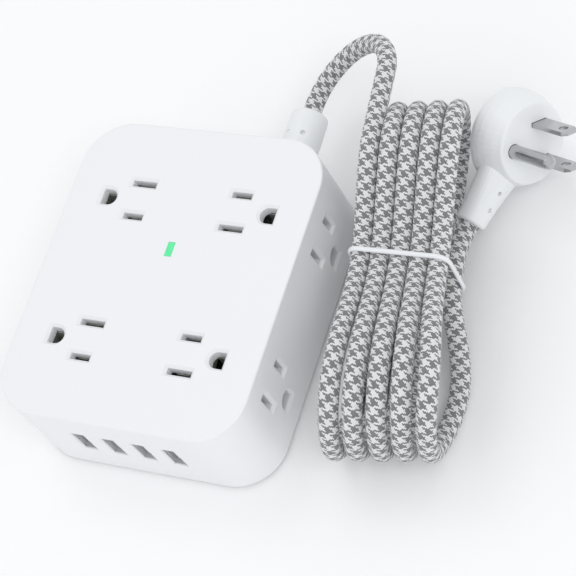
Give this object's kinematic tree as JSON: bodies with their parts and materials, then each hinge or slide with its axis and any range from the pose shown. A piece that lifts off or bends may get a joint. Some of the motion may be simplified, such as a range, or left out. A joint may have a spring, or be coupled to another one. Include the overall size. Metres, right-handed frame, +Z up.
{
  "type": "surge protector block",
  "caption": "Square white power block with grounded outlets on top and sides, upright USB ports, a green light, a tied braided lead and a flat plug.",
  "frame": {"origin": "middle of the block's footprint, on the surface its feet stand on", "axes": "+Z up, +Y towards the wall the lead leaves through, -Y towards the USB ports, +X towards the side where the tied lead lies"},
  "size_m": [0.1707, 0.1595, 0.0461],
  "materials": {
    "board_green": "solder-masked glass epoxy board",
    "braid": "white and grey woven braid in a small broken check",
    "brass": "stamped brass sheet",
    "breaker_black": "black moulded case",
    "button_white": "white moulded button",
    "can_black": "sleeved aluminium can",
    "capacitor_yellow": "moulded box",
    "ferrite": "dark ferrite core with tape",
    "fuse_tan": "tan sleeve",
    "green_lens": "clear green, lit from behind",
    "grey_rubber": "matt grey rubber",
    "ground_green": "green wire insulation",
    "led_green": "clear green epoxy",
    "line_black": "black wire insulation",
    "neutral_white": "white wire insulation",
    "nickel": "nickel-plated brass",
    "steel": "plated steel",
    "tie_white": "thin white band",
    "tongue_plastic": "moulded insulator",
    "varistor_blue": "dipped epoxy coat",
    "white_plastic": "cool white, fine satin moulding texture"
  },
  "bodies": {
    "housing": {"base_cover": "white_plastic", "breaker_body": "breaker_black", "breaker_lead": "line_black", "cord_hank": "braid", "cord_run": "braid", "cord_tail": "braid", "cord_tie": "tie_white", "cover_screw_1": "steel", "cover_screw_2": "steel", "cover_screw_3": "steel", "cover_screw_4": "steel", "filter_capacitor": "capacitor_yellow", "foot_1": "grey_rubber", "foot_2": "grey_rubber", "foot_3": "grey_rubber", "foot_4": "grey_rubber", "ground_lead": "ground_green", "indicator_led": "led_green", "indicator_window": "green_lens", "line_lead": "line_black", "neutral_lead": "neutral_white", "plug_body": "white_plastic", "plug_ground_pin": "nickel", "plug_line_blade": "nickel", "plug_neutral_blade": "nickel", "side_left_ground_bar": "brass", "side_left_line_bar": "brass", "side_left_neutral_bar": "brass", "side_right_ground_bar": "brass", "side_right_line_bar": "brass", "side_right_neutral_bar": "brass", "strain_relief": "white_plastic", "surge_board": "board_green", "thermal_fuse": "fuse_tan", "top_left_ground_bar": "brass", "top_left_line_bar": "brass", "top_left_neutral_bar": "brass", "top_right_ground_bar": "brass", "top_right_line_bar": "brass", "top_right_neutral_bar": "brass", "top_shell": "white_plastic", "usb_board": "board_green", "usb_capacitor": "can_black", "usb_port_1": "steel", "usb_port_2": "steel", "usb_port_3": "steel", "usb_port_4": "steel", "usb_tongue_1": "tongue_plastic", "usb_tongue_2": "tongue_plastic", "usb_tongue_3": "tongue_plastic", "usb_tongue_4": "tongue_plastic", "usb_transformer": "ferrite", "varistor_1": "varistor_blue", "varistor_2": "varistor_blue", "varistor_3": "varistor_blue"},
    "reset_button": {"reset_button": "button_white"}
  },
  "joints": [
    {"name": "reset_push", "type": "slide", "parent": "housing", "child": "reset_button", "axis": [0, 1, 0], "range_m": [-0.001, 0.003], "stiffness_N_per_m": 120}
  ]
}
